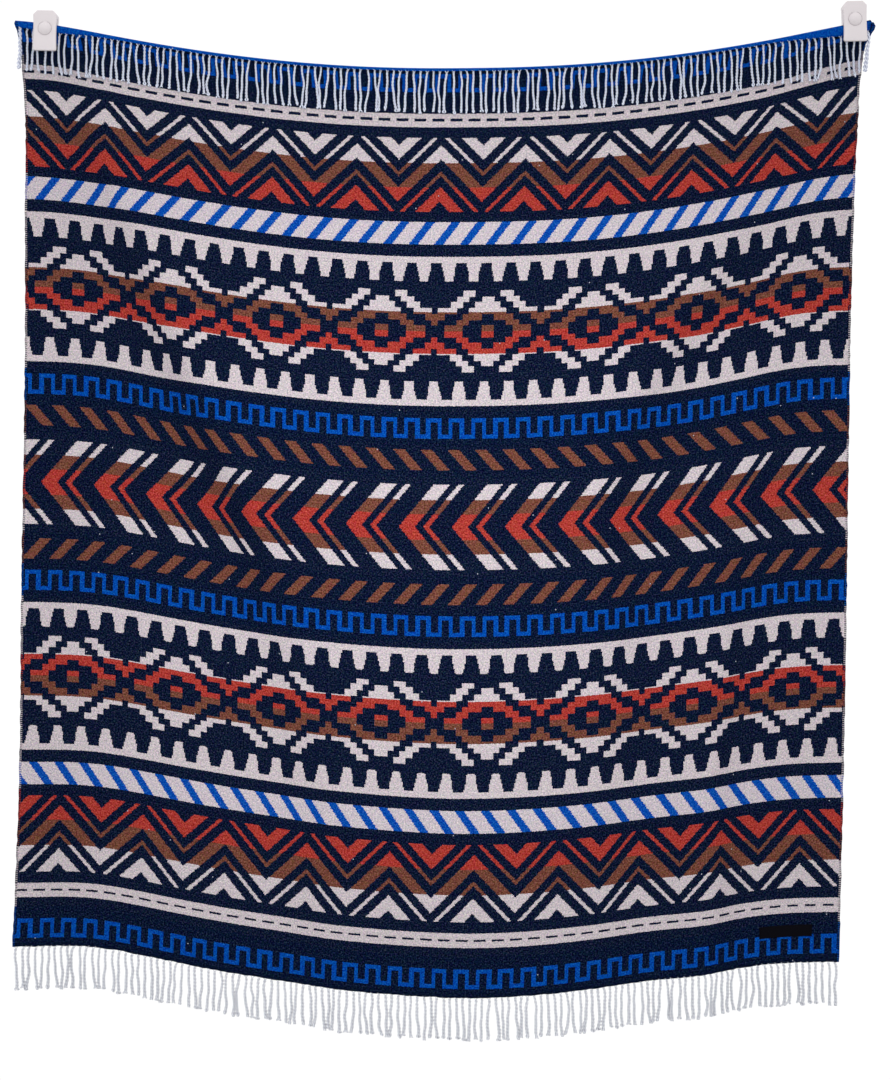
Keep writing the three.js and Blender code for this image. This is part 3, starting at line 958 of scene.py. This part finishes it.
def fringe_piece(name, roots, seed, stand_off, girths, corner_lean, finish):
    """`girths` are those of its strands in general and of the first and last one."""
    numbers = number_source(seed)
    looks = number_source(seed + 40)
    tips = tip_places(roots, numbers)
    tips[-1] += corner_lean
    plies = []
    for i, root in enumerate(roots):
        length = STRAND_LENGTH * drawn(numbers, 0.96, 1.04)
        bow = BOW * drawn(numbers, -0.5, 0.5)
        at_corner = i in (0, len(roots) - 1)
        girth = girths[1] if at_corner else girths[0] * drawn(looks, 0.9, 1.1)
        to_middle = -2 * root[0] / CLOTH_WIDTH
        hook = ROOT["hook"] * (to_middle * drawn(looks, 0.4, 1) + drawn(looks, -0.25, 0.25))
        path = strand_path(root, tips[i], length, bow, hook, stand_off)
        plies += two_plies(path, length, girth, looks)
    points = np.array(plies).reshape(-1, 3)
    return mesh_piece(name, points, tube_faces(len(plies), PLY_STEPS, PLY_SIDES), [finish])


def yarn_finish_with_painted_shade(name, shaded, lit):
    """Loosely spun pale wool with a cool cast, uneven along every strand; painted shade darkens its
    sides.
    """
    material, shader, tree = new_finish(name, roughness=0.9, specular=0.1)
    shader.inputs["Sheen Weight"].default_value = 0.08
    stretched = tree.nodes.new("ShaderNodeMapping")
    stretched.inputs["Scale"].default_value = (1, 1, 0.3)
    place = tree.nodes.new("ShaderNodeTexCoord").outputs["Object"]
    tree.links.new(place, stretched.inputs["Vector"])
    along_yarn = stretched.outputs["Vector"]
    fibres = noise_node(tree, along_yarn, scale=1800, detail=3, roughness=0.6).outputs["Fac"]
    # Painted light and shade: the tone runs from shaded at a strand's sides to lit where it faces
    # front or back.
    normal = tree.nodes.new("ShaderNodeNewGeometry").outputs["Normal"]
    front = abs(split(tree, normal)[1])
    uneven = Draft(fibres) * YARN_TONE_AND_PAINTED_SHADE["fibres"]
    tone = uneven + front * front * YARN_TONE_AND_PAINTED_SHADE["front"] + YARN_TONE_AND_PAINTED_SHADE["level"]
    tones = tree.nodes.new("ShaderNodeValToRGB")
    tones.color_ramp.elements[0].color = (*dye(*shaded), 1)
    tones.color_ramp.elements[1].position = 0.75
    tones.color_ramp.elements[1].color = (*dye(*lit), 1)
    tree.links.new(tone.socket, tones.inputs["Fac"])
    tree.links.new(tones.outputs["Color"], shader.inputs["Base Color"])
    raise_surface(tree, shader, fibres, strength=0.5, distance=0.3)
    return material


def clear_of_cloth(root, across, below):
    """The upper fringe lies in front of the cloth, and a fold behind it pushes it forward."""
    down = TURN_LOW + rise_at(across, 0.0) - (root[2] - below)
    spaces = []
    for x, level in zip(across, down):
        cloth_front = depth_at(x, max(0.0, level)) + CLOTH_THICKNESS / 2
        needed = cloth_front + STRAND_RADIUS + STRAND_CLEARANCE
        spaces.append(max(0.0, float(needed + root[1])))
    return np.array(spaces)


def hanging_free(root, across, below):
    return 0 * below


# The lower fringe, with no dark cloth behind it, is the same yarn as the upper one with darker
# painted shade.
upper_yarn = yarn_finish_with_painted_shade("upper_fringe_yarn", shaded=(150, 160, 200), lit=(262, 266, 278))
lower_yarn_painted_darker = yarn_finish_with_painted_shade("lower_fringe_yarn_painted_shade", shaded=(80, 88, 118), lit=(272, 274, 281))
strand_shares = (np.arange(STRANDS) + 0.5) / STRANDS
upper_drop = turned_length(strand_shares) + STRIP_HEIGHT / 2
upper_roots = turned_row(strand_shares, 1, upper_drop)
lower_roots = main_row(strand_shares, CLOTH_HANG) - np.array([0, 0, STRIP_HEIGHT / 2])
upper_fringe = fringe_piece(
    "upper_fringe",
    upper_roots,
    seed=71,
    stand_off=clear_of_cloth,
    girths=(GIRTHS["upper"], GIRTHS["corner"]),
    corner_lean=CORNER_LEAN,
    finish=upper_yarn,
)
lower_fringe = fringe_piece(
    "lower_fringe",
    lower_roots,
    seed=1907,
    stand_off=hanging_free,
    girths=(GIRTHS["lower"], GIRTHS["lower"]),
    corner_lean=0,
    finish=lower_yarn_painted_darker,
)
for piece, node in ((upper_fringe, "fringe_top"), (lower_fringe, "fringe_bottom")):
    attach(piece, "root")
    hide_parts(node)

# The label is a short length of fine near-black tape, its ends turned under. It is sewn flat to
# the face of the cloth by its two ends, with a few stitches of the same colour. It is bare.

LABEL = {"across": 492, "up": 38, "width": 75, "height": 17, "thickness": 0.9, "lift": 2.1}
LABEL_ROWS = 14
LABEL_COLUMNS = 60
TURNED_UNDER = {"length": 5, "slope": 1.5, "thickness": 0.35}
LABEL_TONE = (9, 8, 15)
STITCHES = 5
STITCH_STEPS = 9
STITCH_SIDES = 6
STITCH = {"from_end": 2.6, "half_share": 0.34, "radius": 0.28, "sunk": 0.25, "arch": 0.45}


def on_label(along, down_share, lift):
    """A point on the label, `along` its length and down its width, both 0 to 1."""
    across = LABEL["across"] + LABEL["width"] * (along - 0.5)
    down = CLOTH_HANG - LABEL["up"] - LABEL["height"] * (1 - down_share)
    beside = surface_points(across + 1, down) - surface_points(across - 1, down)
    forward = np.array([beside[1], -beside[0], 0]) / np.hypot(beside[0], beside[1])
    return surface_points(across, down) + forward * lift


def label_points():
    """Its face and its back, a little thicker where the ends are turned under."""
    points = []
    for side in (1, -1):
        for row in range(LABEL_ROWS + 1):
            for along in np.arange(LABEL_COLUMNS + 1) / LABEL_COLUMNS:
                past_fold = LABEL["width"] * min(along, 1 - along) - TURNED_UNDER["length"]
                doubled = 1 - smooth_step(past_fold / TURNED_UNDER["slope"])
                thickness = LABEL["thickness"] + TURNED_UNDER["thickness"] * doubled * (side > 0)
                lift = LABEL["lift"] + side * thickness / 2
                points.append(on_label(along, row / LABEL_ROWS, lift))
    return np.array(points)


def stitch_points():
    """Short stitches along both ends of the label, each a thread that dips in at its ends."""
    top = LABEL["lift"] + LABEL["thickness"] / 2 + TURNED_UNDER["thickness"]
    circle = flat_circle(STITCH_SIDES) * STITCH["radius"]
    rings = []
    for from_left in (STITCH["from_end"], LABEL["width"] - STITCH["from_end"]):
        along = np.float64(from_left / LABEL["width"])
        for i in range(STITCHES):
            for step in np.linspace(-1, 1, STITCH_STEPS):
                down_share = (i + 0.5 + step * STITCH["half_share"]) / STITCHES
                arch = 1 - step**2
                centre = on_label(along, down_share, top - STITCH["sunk"] + STITCH["arch"] * arch)
                rings.append(centre + circle * math.sqrt(max(arch, 0.08)))
    return np.array(rings).reshape(-1, 3)


def tape_finish():
    """Dull tape with fine ribs down its width."""
    material, shader, tree = new_finish("label_tape", roughness=0.8, specular=0.04)
    shader.inputs["Base Color"].default_value = (*dye(*LABEL_TONE), 1)
    ribs = tree.nodes.new("ShaderNodeTexWave")
    ribs.bands_direction = "X"
    ribs.inputs["Scale"].default_value = 900
    ribs.inputs["Distortion"].default_value = 1.2
    place = tree.nodes.new("ShaderNodeTexCoord").outputs["Object"]
    tree.links.new(place, ribs.inputs["Vector"])
    raise_surface(tree, shader, ribs.outputs["Fac"], strength=0.35, distance=0.15)
    return material


label_tape = tape_finish()
label_faces = sheet_faces(LABEL_ROWS + 1, LABEL_COLUMNS + 1)
sewn_label = mesh_piece("sewn_label", label_points(), label_faces, [label_tape])
stitch_faces = tube_faces(2 * STITCHES, STITCH_STEPS, STITCH_SIDES)
label_stitches = mesh_piece("label_stitches", stitch_points(), stitch_faces, [label_tape])
for piece in (sewn_label, label_stitches):
    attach(piece, "root")
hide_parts("label")

# The wall clips are moulded in white plastic. A base with a head lies against the wall, and a jaw
# is carried in front of the cloth, with a domed button set into it. Every edge is softly rounded.

CLIP = {
    "width": 35,
    "height": 59,
    "waist": 0.8,
    "chamfer": 6,
    "base": 13.4,
    "mouth": 22,
    "jaw": 6,
    "head_at": 17.5,
    "gap": 0.3,
    "corner": 3.2,
    "soft": 1.2,
}
BUTTON = {"radius": 9.6, "rise": 4, "dome": 3.8, "seat": 1.2, "up": 3}
SEAT_EDGE = [(1.2, 0), (0.35, 0.1), (0, 0.45)]
CLIP_PLACES = {"left": (-CLIP_SPREAD, -7, 0.025), "right": (CLIP_SPREAD, 6.8, -0.025)}
SHARP_ANGLE = 38
CLIP_TONE = (245, 237, 240)
LONG_SIDES = (0, 4)
LOWER_SIDE = 5


def curve_points(start, control, end, steps):
    t = (np.arange(steps) / steps)[:, None]
    return start * (1 - t) ** 2 + 2 * control * t * (1 - t) + end * t**2


def towards(start, end, reach):
    """The place that is `reach` from the start of a straight line, on the way to its end."""
    leg = end - start
    return start + leg / np.linalg.norm(leg) * reach


def plate_corners(side, low, top, cut):
    """The corners from the lower right one round to the lower left one, with their rounding."""
    places = [(side, low), (side, top - cut), (side - cut, top)]
    places += [(-x, y) for x, y in reversed(places)]
    roundings = [CLIP["corner"], *[CLIP["soft"]] * 4, CLIP["corner"]]
    return [(np.array(place), rounding) for place, rounding in zip(places, roundings)]


def plate_outline(inset, floor=None):
    """Cut upper corners, rounded lower corners and long sides that are drawn in a little."""
    side = CLIP["width"] / 2 - inset
    top = CLIP["height"] / 2 - inset
    low = -top if floor is None else floor + inset
    waist = side - 2 * CLIP["waist"] if floor is None else side
    corners = plate_corners(side, low, top, CLIP["chamfer"] - inset * 0.6)
    points = []
    for i, (corner, reach) in enumerate(corners):
        following, following_reach = corners[(i + 1) % len(corners)]
        rounding_start = towards(corner, corners[i - 1][0], reach)
        side_start = towards(corner, following, reach)
        side_end = towards(following, corner, following_reach)
        points += [curve_points(rounding_start, corner, side_start, 6), side_start[None]]
        if i in LONG_SIDES:
            control = np.array([math.copysign(waist, corner[0]), (side_start[1] + side_end[1]) / 2])
            points.append(curve_points(side_start, control, side_end, 14)[1:])
        elif i == LOWER_SIDE:
            steps = np.linspace(0, 1, 12)[1:-1, None]
            points.append(side_start + (side_end - side_start) * steps)
    return np.concatenate(points)


def ring_at(outline, depth):
    return np.stack([outline[:, 0], np.full(len(outline), -depth), outline[:, 1]], axis=1)


def rounded_rings(near, far, near_round, far_round, floor=None):
    """The rings of a plate from one depth off the wall to another, with both edges rounded."""
    bends = np.linspace(0, math.pi / 2, 5)
    rings = []
    for bend in bends:
        outline = plate_outline(near_round * (1 - math.sin(bend)), floor)
        rings.append(ring_at(outline, near + near_round * (1 - math.cos(bend))))
    for bend in bends:
        outline = plate_outline(far_round * (1 - math.cos(bend)), floor)
        rings.append(ring_at(outline, far - far_round * (1 - math.sin(bend))))
    return rings


def circle_ring(radius, depth, angles):
    outline = np.stack([radius * np.cos(angles), BUTTON["up"] + radius * np.sin(angles)], axis=1)
    return ring_at(outline, depth)


def base_bodies():
    plate = rounded_rings(0, CLIP["base"], near_round=0.2, far_round=0.8)
    head_front = CLIP["mouth"] - CLIP["gap"]
    head = rounded_rings(CLIP["base"] - 2, head_front, 0.2, 0.7, floor=CLIP["head_at"])
    return [plate, head]


def jaw_bodies():
    """The jaw's front is cut out in a round seat for the button."""
    front = CLIP["mouth"] + CLIP["jaw"]
    rings = rounded_rings(CLIP["mouth"], front, near_round=0.7, far_round=1.5)
    rim = rings[-1]
    angles = np.arctan2(rim[:, 2] - BUTTON["up"], rim[:, 0])
    seat = BUTTON["radius"] + CLIP["gap"]
    for wider, deeper in [*SEAT_EDGE, (0, BUTTON["seat"])]:
        rings.append(circle_ring(seat + wider, front - deeper, angles))
    return [rings]


def button_bodies():
    """A short round wall and a shallow dome, part of a large ball."""
    floor = CLIP["mouth"] + CLIP["jaw"] - BUTTON["seat"] + CLIP["gap"]
    height = BUTTON["seat"] - CLIP["gap"] + BUTTON["rise"]
    radius, dome = BUTTON["radius"], BUTTON["dome"]
    angles = np.arange(64) * 2 * math.pi / 64
    ball = (radius**2 + dome**2) / (2 * dome)
    widest = math.asin(radius / ball)
    profile = [(radius - 0.2, 0), (radius, 0.3), (radius, height - dome)]
    for bend in np.linspace(widest * 0.97, widest * 0.03, 14):
        profile.append((ball * math.sin(bend), height - ball * (1 - math.cos(bend))))
    return [[circle_ring(reach, floor + up, angles) for reach, up in profile]]


def plastic_finish():
    """White satin plastic with a very fine moulded grain."""
    material, shader, tree = new_finish("clip_plastic", roughness=0.38, specular=0.4)
    shader.inputs["Base Color"].default_value = (*dye(*CLIP_TONE), 1)
    place = tree.nodes.new("ShaderNodeTexCoord").outputs["Object"]
    grain = noise_node(tree, place, scale=2200)
    raise_surface(tree, shader, grain.outputs["Fac"], strength=0.12, distance=0.1)
    return material


def closed_bodies(bodies):
    """The points and faces of a few closed bodies, each given as its rings."""
    points = []
    faces = []
    for rings in bodies:
        start = len(points)
        for face in tube_faces(1, len(rings), len(rings[0])):
            faces.append([corner + start for corner in face])
        points.extend(np.concatenate(rings))
    return np.array(points), faces


def hung_on_wall(points, across, up, lean):
    """Leaned to one side by a small angle and moved to the clip's place."""
    placed = points.copy()
    placed[:, 0] = points[:, 0] * math.cos(lean) + points[:, 2] * math.sin(lean) + across
    placed[:, 2] = points[:, 2] * math.cos(lean) - points[:, 0] * math.sin(lean) + up
    return placed


clip_plastic = plastic_finish()
clip_parts = {"base": base_bodies(), "jaw": jaw_bodies(), "button": button_bodies()}
for side, place in CLIP_PLACES.items():
    for part, bodies in clip_parts.items():
        points, faces = closed_bodies(bodies)
        moulding = hung_on_wall(points, *place)
        piece = mesh_piece(f"clip_{side}_{part}_moulding", moulding, faces, [clip_plastic])
        piece.data.set_sharp_from_angle(angle=math.radians(SHARP_ANGLE))
        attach(piece, "root")
        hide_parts(f"clip_{side}_{part}")
